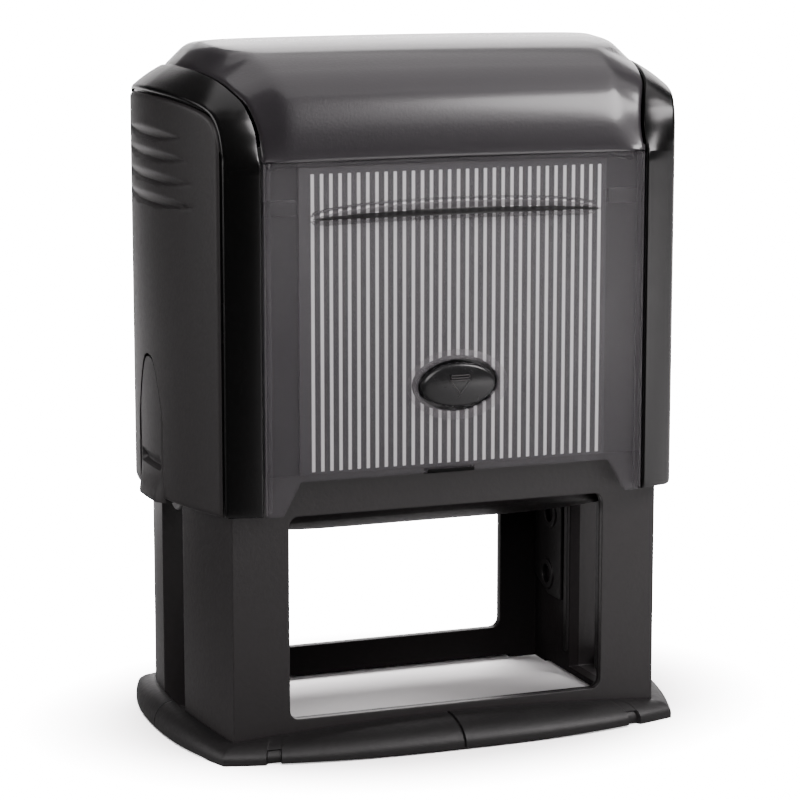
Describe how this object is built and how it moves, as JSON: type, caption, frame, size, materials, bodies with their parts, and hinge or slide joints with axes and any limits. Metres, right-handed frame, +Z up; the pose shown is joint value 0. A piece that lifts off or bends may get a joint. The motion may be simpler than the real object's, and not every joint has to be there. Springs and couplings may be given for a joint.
{
  "type": "self inking stamp",
  "caption": "Self-inking office stamp with a domed press-down cap, black frame with front and back windows, and a text die that flips from pad to paper.",
  "frame": {"origin": "centre of the base footprint, on the desk surface", "axes": "+Z up through the cap, -Y the front window and front pane, +X right of someone facing the front"},
  "size_m": [0.081, 0.0552, 0.105],
  "materials": {
    "foot": "fine grained black",
    "frame_black": "satin black",
    "tray_black": "satin black",
    "ink_felt": "ink soaked felt",
    "spring_steel": "drawn wire",
    "cap_gloss": "gloss black",
    "panel_matte": "fine matte anthracite",
    "smoke_clear": "smoke grey translucent",
    "index_card": "striped card",
    "arm_grey": "mid grey",
    "button_gloss": "gloss black",
    "cushion_foam": "cushion sheet",
    "die_rubber": "laser cut rubber",
    "pin_steel": "turned"
  },
  "bodies": {
    "frame": {"foot_skirt": "foot", "frame_tower": "frame_black", "guide_plate_left": "frame_black", "guide_plate_right": "frame_black", "pad_tray": "tray_black", "ink_pad": "ink_felt", "return_spring_left": "spring_steel", "return_spring_right": "spring_steel"},
    "cap": {"cap_body": "cap_gloss", "side_panel_left": "panel_matte", "side_panel_right": "panel_matte", "index_cover": "smoke_clear", "index_card_front": "index_card", "index_card_back": "index_card", "carrier_arm_left": "arm_grey", "carrier_arm_right": "arm_grey"},
    "die": {"die_holder": "frame_black", "die_cushion": "cushion_foam", "text_die": "die_rubber", "axle_pin_left": "pin_steel", "axle_pin_right": "pin_steel"},
    "lock_front": {"lock_button_front": "button_gloss"},
    "lock_back": {"lock_button_back": "button_gloss"},
    "latch_left": {"side_latch_left": "panel_matte"},
    "latch_right": {"side_latch_right": "panel_matte"}
  },
  "joints": [
    {"name": "cap_press", "type": "slide", "parent": "frame", "child": "cap", "axis": [0, 0, -1], "range_m": [0, 0.031], "stiffness_N_per_m": 450, "springref_m": -0.02, "deforming": ["return_spring_left", "return_spring_right"]},
    {"name": "die_flip", "type": "hinge", "parent": "cap", "child": "die", "pos_m": [0, 0, 0.0384], "axis": [1, 0, 0], "range_deg": [0, 180]},
    {"name": "lock_front_press", "type": "slide", "parent": "cap", "child": "lock_front", "axis": [0, 1, 0], "range_m": [0, 0.001], "stiffness_N_per_m": 800},
    {"name": "lock_back_press", "type": "slide", "parent": "cap", "child": "lock_back", "axis": [0, -1, 0], "range_m": [0, 0.001], "stiffness_N_per_m": 800},
    {"name": "latch_left_press", "type": "slide", "parent": "cap", "child": "latch_left", "axis": [1, 0, 0], "range_m": [0, 0.001], "stiffness_N_per_m": 800},
    {"name": "latch_right_press", "type": "slide", "parent": "cap", "child": "latch_right", "axis": [-1, 0, 0], "range_m": [0, 0.001], "stiffness_N_per_m": 800}
  ],
  "couplings": [
    {"joint": "die_flip", "follows": "cap_press", "rad_per_m": 101.3}
  ]
}
